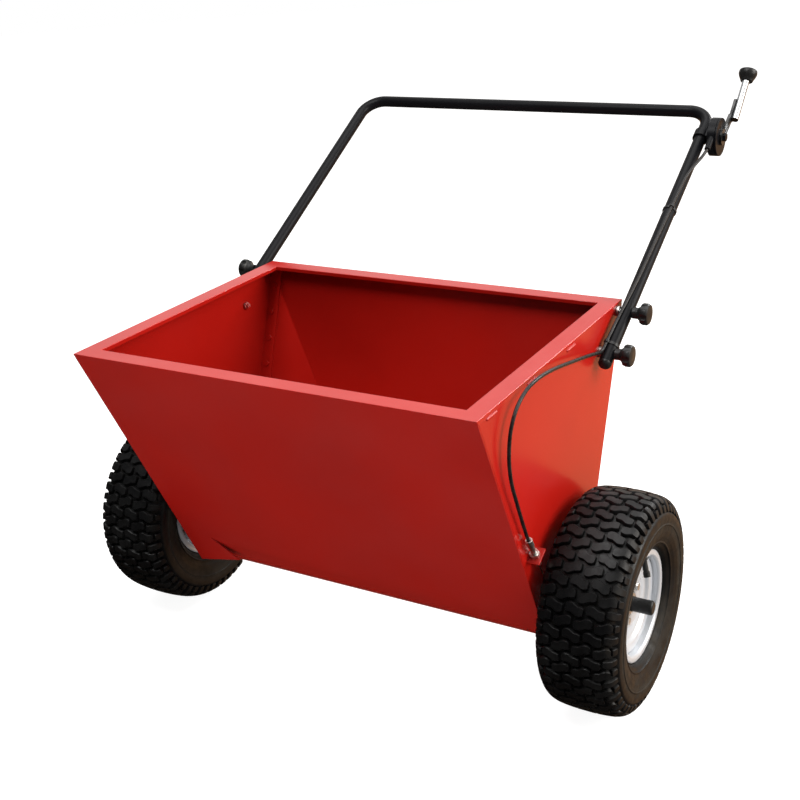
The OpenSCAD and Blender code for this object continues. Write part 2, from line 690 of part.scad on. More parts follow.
module lever_arm() color("#c8ccd0") at(housing) difference() {
    union() {
        rod_x(arm_plate_x, lever_x, 13);
        rotate([lever_plate_a, 0, 0]) {
            translate([arm_plate_x, 0, -8]) cube([4, lever_plate_l, 16]);
            translate([0, lever_plate_l, 0]) rod_x(arm_plate_x, lever_x, 8);
        }
        translate([0, rod_from[0], rod_from[1]]) rotate([rod_a, 0, 0]) {
            translate([arm_plate_x, 0, -7]) cube([4, plate_tail, 14]);
            translate([0, plate_tail, 0]) rod_x(arm_plate_x, lever_x, 7);
        }
        translate([rod_axis_x, rod_from[0], rod_from[1]])
            rotate([rod_a - 90, 0, 0]) cylinder(h = rod_l - 6, r = rod_r);
    }
    rod_x(arm_plate_x - 5, lever_x + 1, lever_bolt_r + run);
}
module lever_knob() color("#101010") translate([rod_axis_x, ball_at[0], ball_at[1]]) difference() {
    rotate([knob_a - 90, 0, 0]) rotate_extrude() polygon([
        [0, -11], [10, -11], [11, -8], [ball_d / 2 - 1.5, -1], [ball_d / 2 - 0.5, 3],
        [ball_shoulder, ball_high], [ball_shoulder - 2, ball_high + 1.5], [0, ball_high + 2]
    ]);
    rotate([rod_a - 90, 0, 0]) translate([0, 0, -rod_l]) cylinder(h = rod_l - 6, r = rod_r);
}

left_side_panel();
right_side_panel();
front_panel();
rear_panel();
rim_frame();
metering_floor();
panel_bolts();
left_bearing_boss();
right_bearing_boss();
left_axle_bush();
right_axle_bush();
gate_retaining_rings();
pivot_studs();
lock_studs();
stud_spacers();
cable_bracket();
cable_adjuster();
adjuster_nuts();
cable_lower();
rear_stand();
stand_bolts();
gate_shutter();
left_gate_arm();
right_gate_arm();
inner_wire();
wire_swivel();
axle_shaft();
agitator();
drive_pin();
axle_spacers();
axle_washers();
left_axle_cap();
right_axle_cap();
right_hub();
right_rim_barrel();
right_wheel_disc();
right_tyre();
right_valve_stem();
right_wheel_bolts();
left_hub();
left_hub_bushes();
left_rim_barrel();
left_wheel_disc();
left_tyre();
left_valve_stem();
left_wheel_bolts();
handle_tube();
handle_end_plugs();
lever_clamp();
lever_housing();
lever_pivot_bolt();
cable_upper();
cable_ties();
lever_disc();
lever_arm();
lever_knob();
right_pivot_knob();
right_lock_knob();
left_pivot_knob();
left_lock_knob();
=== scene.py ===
"""Looks of a walk-behind drop spreader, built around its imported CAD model. Lengths are in metres."""

import json
import math

import bmesh
import bpy
from mathutils import Matrix, Vector

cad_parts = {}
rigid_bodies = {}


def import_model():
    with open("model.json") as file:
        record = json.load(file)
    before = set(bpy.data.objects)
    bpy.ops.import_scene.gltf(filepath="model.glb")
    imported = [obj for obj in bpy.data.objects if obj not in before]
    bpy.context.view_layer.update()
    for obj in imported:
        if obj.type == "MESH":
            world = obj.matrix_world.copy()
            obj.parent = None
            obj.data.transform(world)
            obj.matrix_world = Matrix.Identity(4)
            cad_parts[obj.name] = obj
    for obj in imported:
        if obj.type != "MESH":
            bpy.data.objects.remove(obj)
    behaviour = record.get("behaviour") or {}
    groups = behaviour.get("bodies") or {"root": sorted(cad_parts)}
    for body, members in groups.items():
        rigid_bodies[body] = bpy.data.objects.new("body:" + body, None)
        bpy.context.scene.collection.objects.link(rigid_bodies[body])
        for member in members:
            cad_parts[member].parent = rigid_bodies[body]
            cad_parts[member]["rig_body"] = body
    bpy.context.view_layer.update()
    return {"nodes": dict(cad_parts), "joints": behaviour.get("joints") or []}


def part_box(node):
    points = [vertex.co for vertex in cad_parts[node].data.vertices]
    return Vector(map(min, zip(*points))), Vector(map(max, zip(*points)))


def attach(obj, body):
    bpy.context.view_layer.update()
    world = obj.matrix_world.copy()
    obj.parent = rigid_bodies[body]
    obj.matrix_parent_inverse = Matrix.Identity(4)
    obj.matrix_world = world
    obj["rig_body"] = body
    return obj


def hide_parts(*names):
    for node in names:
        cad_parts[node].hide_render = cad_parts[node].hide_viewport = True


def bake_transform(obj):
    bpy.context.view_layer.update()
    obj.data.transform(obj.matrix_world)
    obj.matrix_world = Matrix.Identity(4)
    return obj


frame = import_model()
MM = 0.001
TAU = 2 * math.pi

# ---------------------------------------------------------------- places taken from the frame
JOINT_AT = {j["name"]: Vector(j["pos_m"]) for j in frame["joints"] if "pos_m" in j}
AXLE = JOINT_AT["axle_spin"]
HOUSING = JOINT_AT["lever_turn"]


def middle(node):
    low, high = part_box(node)
    return (low + high) / 2


def span(node):
    low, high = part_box(node)
    return high - low


TYRE_X = middle("right_tyre").x
TYRE_R = span("right_tyre").z / 2
HALF_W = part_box("rim_frame")[1].x
PANEL_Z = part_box("rim_frame")[0].z

# ---------------------------------------------------------------- mesh helpers


def add_object(name, mesh, body=None, replaces=()):
    """Links a mesh as an object, rides it on a body and hides the nodes it stands for."""
    piece = bpy.data.objects.new(name, mesh)
    bpy.context.scene.collection.objects.link(piece)
    if body:
        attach(piece, body)
    if replaces:
        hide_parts(*replaces)
    return piece


def mesh_of(bm, name, sharp_deg=35):
    """Turns a bmesh into a smooth-shaded mesh whose edges above an angle stay sharp."""
    bmesh.ops.recalc_face_normals(bm, faces=bm.faces)
    mesh = bpy.data.meshes.new(name)
    bm.to_mesh(mesh)
    bm.free()
    mesh.shade_smooth()
    mesh.set_sharp_from_angle(angle=math.radians(sharp_deg))
    return mesh


def paint(piece, look):
    piece.data.materials.clear()
    piece.data.materials.append(look)
    return piece


def bevelled(node, width, look, segments=2, where=None):
    """A copy of a CAD node with its hard edges rounded, which stands for the node.

    where, given an edge's middle, says whether that edge is rounded; without it all of them are."""
    source = frame["nodes"][node]
    bm = bmesh.new()
    bm.from_mesh(source.data)
    bmesh.ops.remove_doubles(bm, verts=bm.verts, dist=1e-6)
    bmesh.ops.dissolve_limit(bm, angle_limit=math.radians(0.4), verts=bm.verts, edges=bm.edges)
    weight = bm.edges.layers.float.new("bevel_weight_edge")
    for edge in bm.edges:
        hard = len(edge.link_faces) == 2 and edge.calc_face_angle() > math.radians(32)
        if hard and (where is None or where((edge.verts[0].co + edge.verts[1].co) / 2)):
            edge[weight] = 1.0
    piece = add_object(f"{node}_finished", mesh_of(bm, f"{node}_finished"), source["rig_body"])
    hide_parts(node)
    rounding = piece.modifiers.new("edges", "BEVEL")
    rounding.width = width
    rounding.segments = segments
    rounding.limit_method = "WEIGHT"
    rounding.harden_normals = True
    rounding.use_clamp_overlap = True
    return paint(piece, look)


def rounded(points, radius, steps=4):
    """A polyline with each inner corner replaced by an arc that starts at most radius from it."""
    out = [points[0]]
    for before, at, after in zip(points, points[1:], points[2:]):
        a, b, c = Vector(before), Vector(at), Vector(after)
        cut = min(radius, (a - b).length * 0.45, (c - b).length * 0.45)
        start, end = b + (a - b).normalized() * cut, b + (c - b).normalized() * cut
        for i in range(steps + 1):
            t = i / steps
            out.append(tuple((1 - t) ** 2 * start + 2 * t * (1 - t) * b + t * t * end))
    out.append(points[-1])
    return out


def lathe(bm, profile, centre, side=1, segments=144, closed=True):
    """Turns (radius, x) points round the X axis through centre; side -1 mirrors the outline in X."""
    rings = []
    for i in range(segments):
        a = TAU * i / segments
        c, s = math.cos(a), math.sin(a)
        rings.append([
            bm.verts.new((centre.x + side * x, centre.y + r * c, centre.z + r * s)) for r, x in profile
        ])
    pairs = len(profile) if closed else len(profile) - 1
    for i in range(segments):
        a, b = rings[i], rings[(i + 1) % segments]
        for k in range(pairs):
            m = (k + 1) % len(profile)
            bm.faces.new((a[k], a[m], b[m], b[k]))


def smooth_path(points, steps):
    """Points along a Catmull-Rom curve through the given ones."""
    p = [Vector(q) for q in points]
    out = []
    for i in range(len(p) - 1):
        a, b, c, d = p[max(i - 1, 0)], p[i], p[i + 1], p[min(i + 2, len(p) - 1)]
        for k in range(steps):
            t = k / steps
            out.append(0.5 * (
                2 * b + (c - a) * t + (2 * a - 5 * b + 4 * c - d) * t * t
                + (3 * b - a - 3 * c + d) * t * t * t
            ))
    return out + [p[-1]]


def sweep(bm, path, radius, sides=24, capped=True):
    """A tube along a path. radius is a number, or a function of the distance along the path."""
    tangents = [
        (path[min(i + 1, len(path) - 1)] - path[max(i - 1, 0)]).normalized() for i in range(len(path))
    ]
    across = tangents[0].orthogonal().normalized()
    rings, run = [], 0.0
    for i, (point, along) in enumerate(zip(path, tangents)):
        if i:
            run += (point - path[i - 1]).length
        across = (across - along * across.dot(along)).normalized()
        up = along.cross(across)
        r = radius(run) if callable(radius) else radius
        rings.append([
            bm.verts.new(point + r * (across * math.cos(TAU * k / sides) + up * math.sin(TAU * k / sides)))
            for k in range(sides)
        ])
    for a, b in zip(rings, rings[1:]):
        for k in range(sides):
            m = (k + 1) % sides
            bm.faces.new((a[k], a[m], b[m], b[k]))
    if capped:
        bm.faces.new(rings[0])
        bm.faces.new(rings[-1])


# ---------------------------------------------------------------- materials


class Look:
    """A Principled material and the few node patterns that the finishes share."""

    def __init__(self, name, color, rough, metallic=0.0, **sockets):
        self.material = bpy.data.materials.new(name)
        self.material.use_nodes = True
        self.nodes = self.material.node_tree.nodes
        self.links = self.material.node_tree.links
        self.shader = self.nodes["Principled BSDF"]
        self.shader.inputs["Base Color"].default_value = (*color, 1)
        self.shader.inputs["Roughness"].default_value = rough
        self.shader.inputs["Metallic"].default_value = metallic
        for socket, value in sockets.items():
            self.shader.inputs[socket.replace("_", " ").title().replace("Ior", "IOR")].default_value = value
        self.place = self.nodes.new("ShaderNodeTexCoord").outputs["Object"]
        self.height = None

    def node(self, kind, inputs=None, **settings):
        made = self.nodes.new(kind)
        for key, value in settings.items():
            setattr(made, key, value)
        for key, value in (inputs or {}).items():
            if isinstance(value, bpy.types.NodeSocket):
                self.links.new(value, made.inputs[key])
            else:
                made.inputs[key].default_value = value
        return made

    def noise(self, scale, detail=4.0, rough=0.55, stretch=None):
        """Noise between 0 and 1. stretch scales the three directions apart."""
        place = self.place
        if stretch:
            place = self.node("ShaderNodeMapping", {"Vector": place, "Scale": stretch}).outputs[0]
        return self.node(
            "ShaderNodeTexNoise", {"Vector": place, "Scale": scale, "Detail": detail, "Roughness": rough}
        ).outputs["Fac"]

    def ramp(self, value, low, high, start=0.0, end=1.0):
        """Maps value from low..high to start..end, held at both ends."""
        return self.node(
            "ShaderNodeMapRange",
            {"Value": value, "From Min": low, "From Max": high, "To Min": start, "To Max": end},
            interpolation_type="SMOOTHSTEP",
        ).outputs["Result"]

    def math(self, operation, a, b=0.0):
        return self.node("ShaderNodeMath", {0: a, 1: b}, operation=operation).outputs[0]

    def mix(self, factor, a, b):
        made = self.node("ShaderNodeMix", {"Factor": factor}, data_type="RGBA")
        for socket, value in ((made.inputs[6], a), (made.inputs[7], b)):
            if isinstance(value, bpy.types.NodeSocket):
                self.links.new(value, socket)
            else:
                socket.default_value = (*value, 1)
        return made.outputs[2]

    def axis(self, index):
        return self.node("ShaderNodeSeparateXYZ", {0: self.place}).outputs[index]

    def up_facing(self):
        """1 where the surface faces straight up, 0 where it is upright or faces down."""
        normal = self.node("ShaderNodeNewGeometry").outputs["Normal"]
        return self.ramp(self.node("ShaderNodeSeparateXYZ", {0: normal}).outputs[2], 0.2, 0.95)

    def from_axis(self, centre):
        """Distance from the line through centre that runs across the cart."""
        flat = self.node("ShaderNodeMapping", {"Vector": self.place, "Scale": (0, 1, 1)}).outputs[0]
        return self.node(
            "ShaderNodeVectorMath", {0: flat, 1: (0, centre.y, centre.z)}, operation="DISTANCE"
        ).outputs["Value"]

    def color(self, value):
        self.links.new(value, self.shader.inputs["Base Color"])
        return self

    def roughness(self, value):
        self.links.new(value, self.shader.inputs["Roughness"])
        return self

    def bump(self, value, strength, distance=0.001):
        made = self.node("ShaderNodeBump", {"Height": value, "Strength": strength, "Distance": distance})
        if self.height:
            self.links.new(self.height, made.inputs["Normal"])
        self.height = made.outputs[0]
        self.links.new(self.height, self.shader.inputs["Normal"])
        return self


def powder_coat(name, base, shade, dust, rough, gloss, peel=0.05, metallic=0.0):
    """Gloss powder coat: faintly cloudy colour, orange peel and a film of dust on faces that look up."""
    look = Look(name, base, rough, metallic, specular_ior_level=gloss)
    cloud = look.ramp(look.noise(4, 3), 0.30, 0.72)
    film = look.ramp(look.noise(14, 4), 0.35, 0.75, 0.02, 0.10)
    coat = look.mix(cloud, base, shade)
    look.color(look.mix(look.math("MULTIPLY", look.up_facing(), film), coat, dust))
    look.roughness(look.ramp(look.noise(7, 4), 0.3, 0.7, rough - 0.03, rough + 0.04))
    look.bump(look.noise(650, 2), peel, 0.0006)
    look.bump(look.noise(2.2, 1), 0.04, 0.004)
    return look.material


def plated(name, base, rough, grain=(1, 1, 1), spots=0.25, metallic=1.0):
    """Plated or bare metal with drawn grain and dull spots."""
    look = Look(name, base, rough, metallic)
    dull = look.ramp(look.noise(120, 6), 0.45, 0.75, 0.0, spots)
    look.color(look.mix(dull, base, tuple(c * 0.45 for c in base)))
    lines = look.noise(500, 3, 0.6, grain)
    look.roughness(look.math("ADD", look.ramp(lines, 0.3, 0.7, rough - 0.06, rough + 0.1),
                             look.math("MULTIPLY", dull, 0.5)))
    look.bump(lines, 0.08, 0.0003)
    return look.material


def moulded(name, base, rough, grain=900, strength=0.15):
    """Moulded plastic or rubber with a fine skin."""
    look = Look(name, base, rough, specular_ior_level=0.2)
    patch = look.ramp(look.noise(60, 5), 0.35, 0.7)
    look.color(look.mix(patch, base, tuple(c * 1.5 + 0.002 for c in base)))
    look.roughness(look.ramp(look.noise(200, 4), 0.3, 0.7, rough - 0.07, rough + 0.1))
    look.bump(look.noise(grain, 3), strength, 0.0004)
    return look.material


def stud_paint(red):
    """Zinc plated stud whose head inside the hopper was painted with the panels."""
    look = Look("stud_finish", (0.6, 0.6, 0.58), 0.35)
    inside = look.math("LESS_THAN", look.math("ABSOLUTE", look.axis(0)), HALF_W - 2 * MM)
    chipped = look.math("MULTIPLY", inside, look.ramp(look.noise(260, 4), 0.36, 0.5, 0.35, 1))
    look.color(look.mix(chipped, (0.62, 0.61, 0.58), red))
    look.links.new(look.ramp(chipped, 0, 1, 0.9, 0.0), look.shader.inputs["Metallic"])
    look.roughness(look.ramp(look.noise(150), 0.3, 0.7, 0.28, 0.45))
    look.bump(look.noise(400, 3), 0.15, 0.0004)
    return look.material


CHROME = (0.45, 0.46, 0.47)
LEVER_PLATE_T = 4 * MM
LEVER_PLATE_REACH = 90 * MM


def lever_finish():
    """Black plate with a chrome plated rod on its outer face. The rod also runs on past the plate."""
    look = Look("lever_rod_finish", CHROME, 0.16)
    reach = look.from_axis(HOUSING)
    plate_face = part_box("lever_arm")[0].x + LEVER_PLATE_T
    outside = look.math("GREATER_THAN", look.axis(0), plate_face + 0.3 * MM)
    chrome = look.math("MAXIMUM", outside, look.math("GREATER_THAN", reach, LEVER_PLATE_REACH))
    dull = look.ramp(look.noise(160, 5), 0.45, 0.75, 0.0, 0.25)
    plating = look.mix(dull, CHROME, tuple(c * 0.5 for c in CHROME))
    look.color(look.mix(chrome, (0.004, 0.004, 0.004), plating))
    look.links.new(chrome, look.shader.inputs["Metallic"])
    look.roughness(look.math("ADD", look.ramp(chrome, 0, 1, 0.34, 0.15), look.math("MULTIPLY", dull, 0.4)))
    look.bump(look.noise(500, 3), 0.06, 0.0003)
    return look.material


# Distances from the axle where each film of dust starts and where it is full.
SIDE_DUST_OUTER, SIDE_DUST_INNER = (0.134, 0.125), (0.108, 0.119)
BEAD_DUST = (0.124, 0.112)
GROOVE_DUST_OUTER, GROOVE_DUST_INNER = (0.1610, 0.1575), (0.150, 0.156)


def tyre_finish():
    """Black rubber with dry brown dust on the sidewall, in the tread's grooves and by the bead."""
    look = Look("tyre_rubber_finish", (0.004, 0.004, 0.004), 0.5, specular_ior_level=0.18)
    radius = look.from_axis(AXLE)
    blotch = look.noise(45, 7, 0.65)
    ring = look.math("MULTIPLY", look.ramp(radius, *SIDE_DUST_OUTER), look.ramp(radius, *SIDE_DUST_INNER))
    side = look.math("MULTIPLY", ring, look.ramp(blotch, 0.36, 0.66, 0.15, 0.8))
    patches = look.math("MULTIPLY", look.ramp(look.noise(7, 3), 0.50, 0.66),
                        look.ramp(blotch, 0.3, 0.6, 0.2, 0.9))
    bead = look.math("MULTIPLY", look.ramp(radius, *BEAD_DUST), patches)
    groove = look.math("MULTIPLY", look.ramp(radius, *GROOVE_DUST_OUTER),
                       look.math("MULTIPLY", look.ramp(radius, *GROOVE_DUST_INNER),
                                 look.ramp(blotch, 0.45, 0.75, 0.0, 0.3)))
    dust = look.math("MAXIMUM", look.math("MAXIMUM", side, bead), groove)
    rubber = look.mix(look.ramp(look.noise(18), 0.35, 0.7), (0.0025, 0.0025, 0.0028), (0.006, 0.006, 0.006))
    look.color(look.mix(dust, rubber, (0.022, 0.017, 0.011)))
    look.roughness(look.math("ADD", look.ramp(look.noise(80, 5), 0.3, 0.7, 0.36, 0.54),
                             look.math("MULTIPLY", dust, 0.35)))
    look.bump(look.noise(1100, 3), 0.25, 0.0004)
    look.bump(look.noise(130, 5), 0.18, 0.0008)
    return look.material


RED_BASE, RED_SHADE, RED_DUST = (0.33, 0.0072, 0.0042), (0.30, 0.0062, 0.0036), (0.50, 0.12, 0.11)
RED = powder_coat("red_powder_coat", RED_BASE, RED_SHADE, RED_DUST, 0.22, 0.42)
BLACK = powder_coat("black_powder_coat", (0.004, 0.004, 0.005), (0.006, 0.006, 0.007), (0.02, 0.02, 0.02),
                    0.34, 0.07, 0.04)
SILVER = powder_coat("silver_paint_finish", (0.56, 0.58, 0.62), (0.50, 0.52, 0.55), (0.45, 0.44, 0.42),
                     0.30, 0.5, 0.10, 0.45)
ZINC = plated("zinc_plate", (0.66, 0.65, 0.62), 0.32)
GATE = plated("galvanised_sheet", (0.48, 0.49, 0.50), 0.42, (1, 8, 8), 0.45)
STEEL = plated("drawn_steel", (0.33, 0.33, 0.34), 0.35, (0.05, 4, 4), 0.4)
BRONZE = plated("bronze_bush", (0.52, 0.33, 0.14), 0.38)
LEVER = lever_finish()
PLASTIC = moulded("black_plastic_finish", (0.007, 0.007, 0.007), 0.34)
JACKET = moulded("cable_jacket_finish", (0.007, 0.006, 0.006), 0.30, 300, 0.02)
RUBBER = moulded("valve_rubber", (0.010, 0.010, 0.010), 0.5)
STUD = stud_paint(RED_BASE)
TYRE = tyre_finish()

# ---------------------------------------------------------------- hopper, stand and gate
for node in ("left_side_panel", "right_side_panel", "front_panel", "rear_panel", "metering_floor"):
    bevelled(node, 0.8 * MM, RED, 2, lambda at: at.z < PANEL_Z - 2 * MM)
bevelled("rim_frame", 1.2 * MM, RED, 3, lambda at: at.z > PANEL_Z + 1 * MM)
bevelled("cable_bracket", 0.7 * MM, RED)
bevelled("panel_bolts", 0.6 * MM, RED)
bevelled("rear_stand", 0.7 * MM, BLACK)
bevelled("pivot_studs", 0.9 * MM, STUD)
bevelled("lock_studs", 0.9 * MM, STUD)
for node in ("stud_spacers", "gate_retaining_rings", "left_bearing_boss", "right_bearing_boss",
             "stand_bolts", "cable_adjuster", "adjuster_nuts", "wire_swivel", "drive_pin", "axle_spacers",
             "axle_washers", "left_wheel_bolts", "right_wheel_bolts"):
    bevelled(node, 0.5 * MM, ZINC)
for node in ("gate_shutter", "left_gate_arm", "right_gate_arm", "agitator"):
    bevelled(node, 0.5 * MM, GATE)
for node in ("axle_shaft", "inner_wire"):
    paint(frame["nodes"][node], STEEL)
for node in ("left_axle_bush", "right_axle_bush", "left_hub_bushes"):
    paint(frame["nodes"][node], BRONZE)


WELD_R = 2.6 * MM
WELD_PITCH = 3.2 * MM
WELD_TAPER = 2.5 * MM
WELD_STEP = 0.5 * MM
WELD_DROP = 1.6 * MM
WELD_RUNS = ((-0.448, -0.418), (-0.330, -0.300), (-0.200, -0.170))


def weld(name, start, end):
    """A run of weld metal between two points: overlapping ripples that thin out at both ends."""
    start, end = Vector(start), Vector(end)
    length = (end - start).length
    count = max(8, int(length / WELD_STEP))
    path = [start.lerp(end, i / count) for i in range(count + 1)]

    def ripple(s):
        taper = min(1.0, 0.35 + 0.65 * min(s, length - s) / WELD_TAPER)
        return WELD_R * (0.78 + 0.22 * abs(math.sin(math.pi * s / WELD_PITCH))) * taper

    bm = bmesh.new()
    sweep(bm, path, ripple, 12)
    return paint(add_object(name, mesh_of(bm, name, 80), "hopper"), RED)


for side, mark in ((1, "right"), (-1, "left")):
    edge_x = side * (HALF_W - 0.2 * MM)
    for i, (y0, y1) in enumerate(WELD_RUNS):
        weld(f"rim_weld_{mark}_{i}", (edge_x, y0, PANEL_Z - WELD_DROP), (edge_x, y1, PANEL_Z - WELD_DROP))

# ---------------------------------------------------------------- wheels
TREAD_OUTLINE = [(0, 165), (12, 165), (28, 164), (40, 162.5), (49, 159.5), (55, 154), (59, 146), (61.7, 134),
                 (61.7, 122), (60, 108)]
OUTLINE_R = 165 * MM
TREAD_DEPTH = 6 * MM
ROWS = 56
LUG_PITCH = 30 * MM
LUG_GAP = 2 * MM
LUG_HALF = 6.9 * MM
LUG_STEP = 2.3 * MM
LUG_EDGE = 0.9 * MM
LUG_BLUNT = 0.16  # share of a lug's length that narrows at each end
STEP_SHARPNESS = 2.6
STEP_FADE_FROM, STEP_FADE_OVER = 0.046, 0.012  # the S dies out toward the shoulder
CLEAT_HALF = 5.6 * MM
CLEAT_START_ODD, CLEAT_START_EVEN, CLEAT_END = 0.0605, 0.0455, 0.0715
CARCASS_REACH = 0.083
CARCASS_STATIONS = 40
TREAD_EDGE, TREAD_FADE = 0.0745, 0.008  # the carcass rises to the outer outline past the tread


def crown_curve():
    """The tyre's outer outline from the middle of the tread: (distance, x, radius, normal) stations."""
    scale = TYRE_R / OUTLINE_R
    points = smooth_path([(x * MM * scale, r * MM * scale, 0) for x, r in TREAD_OUTLINE], 8)
    stations, run = [], 0.0
    for i, p in enumerate(points):
        if i:
            run += (p - points[i - 1]).length
        along = (points[min(i + 1, len(points) - 1)] - points[max(i - 1, 0)]).normalized()
        stations.append((run, p.x, p.y, Vector((-along.y, along.x, 0))))
    stations[0] = (0.0, 0.0, points[0].y, Vector((0, 1, 0)))
    return stations


CROWN = crown_curve()


def on_crown(w, depth):
    """(x, radius) at the distance w across the tread, depth under the outer outline."""
    run = abs(w)
    for a, b in zip(CROWN, CROWN[1:]):
        if run <= b[0]:
            t = (run - a[0]) / (b[0] - a[0])
            normal = a[3].lerp(b[3], t).normalized()
            x = a[1] + t * (b[1] - a[1]) - depth * normal.x
            r = a[2] + t * (b[2] - a[2]) - depth * normal.y
            return math.copysign(x, w), r
    return math.copysign(CROWN[-1][1], w), CROWN[-1][2]


def tread_point(bm, side, w, s, depth, row_angle):
    """A vertex at w across the tread and s along it from the row's angle, depth under the outline."""
    x, r = on_crown(w, depth)
    a = row_angle + s / TYRE_R
    return bm.verts.new((side * (TYRE_X + x), AXLE.y + r * math.cos(a), AXLE.z + r * math.sin(a)))


def lug(bm, side, w0, w1, row_angle, steps=10, end=0.55, half=LUG_HALF):
    """One tread block between w0 and w1 across the tread, with an S-shaped front and back."""
    rings = []
    for i in range(steps + 1):
        t = 0.5 - 0.5 * math.cos(math.pi * i / steps)
        w = w0 + t * (w1 - w0)
        tip = min(t, 1 - t)
        blunt = min(1.0, end + (1 - end) * math.sqrt(tip / LUG_BLUNT)) if tip < LUG_BLUNT else 1.0
        fade = max(0.0, 1 - max(0.0, abs(w) - STEP_FADE_FROM) / STEP_FADE_OVER)
        c = LUG_STEP * math.tanh(STEP_SHARPNESS * math.sin(TAU * w / LUG_PITCH)) * fade
        h = half * blunt
        top = 0.0 if 0 < i < steps else LUG_EDGE
        section = (
            (c - h - LUG_EDGE, TREAD_DEPTH + 0.6 * MM),
            (c - h, top + 1.0 * MM),
            (c - h + LUG_EDGE, top + 0.05 * MM),
            (c + h - LUG_EDGE, top + 0.05 * MM),
            (c + h, top + 1.0 * MM),
            (c + h + LUG_EDGE, TREAD_DEPTH + 0.6 * MM),
        )
        rings.append([tread_point(bm, side, w, s, depth, row_angle) for s, depth in section])
    for a, b in zip(rings, rings[1:]):
        for k in range(5):
            bm.faces.new((a[k], a[k + 1], b[k + 1], b[k]))
        bm.faces.new((a[5], a[0], b[0], b[5]))
    bm.faces.new(rings[0])
    bm.faces.new(rings[-1])


def tyre(name, side, body):
    """Turf tyre: a carcass with interlocking tread blocks, shoulder cleats and ribbed sidewalls."""
    bm = bmesh.new()
    reach = LUG_PITCH / 2 - LUG_GAP
    for row in range(ROWS):
        angle = TAU * row / ROWS
        centres = (-1.5, -0.5, 0.5, 1.5) if row % 2 else (-1, 0, 1)
        for c in centres:
            lug(bm, side, c * LUG_PITCH - reach, c * LUG_PITCH + reach, angle)
        start = CLEAT_START_ODD if row % 2 else CLEAT_START_EVEN
        for out in (-1, 1):
            lug(bm, side, out * start, out * CLEAT_END, angle, 8, 0.7, CLEAT_HALF)
    half_outline = []
    for i in range(CARCASS_STATIONS + 1):
        w = CARCASS_REACH * i / CARCASS_STATIONS
        sunk = TREAD_DEPTH * min(1.0, max(0.0, (TREAD_EDGE - w) / TREAD_FADE))
        half_outline.append(on_crown(w, sunk))
    x_end, r_end = half_outline[-1]
    sidewall = [
        (r_end, x_end), (0.1245, 0.0612), (0.1238, 0.0622), (0.1222, 0.0622), (0.1215, 0.0610),
        (0.112, 0.0600), (0.104, 0.0578), (0.0975, 0.0548), (0.0965, 0.0556), (0.0950, 0.0552),
        (0.0938, 0.0530), (0.0895, 0.0500), (0.0868, 0.0470), (0.0850, 0.0432), (0.0768, 0.0425)
    ]
    outer = [(r, x) for x, r in half_outline[:-1]] + rounded(sidewall, 0.6 * MM, 3)
    inner = [
        (0.0768, -0.030), (0.120, -0.045), (0.148, -0.030), (0.153, 0.0), (0.148, 0.030), (0.120, 0.045),
        (0.0768, 0.030)
    ]
    profile = [(r, -x) for r, x in reversed(outer[1:])] + outer + list(reversed(inner))
    lathe(bm, profile, Vector((side * TYRE_X, AXLE.y, AXLE.z)), side, 168)
    piece = add_object(name, mesh_of(bm, name, 40), body, (name.replace("_tread", ""),))
    return paint(piece, TYRE)


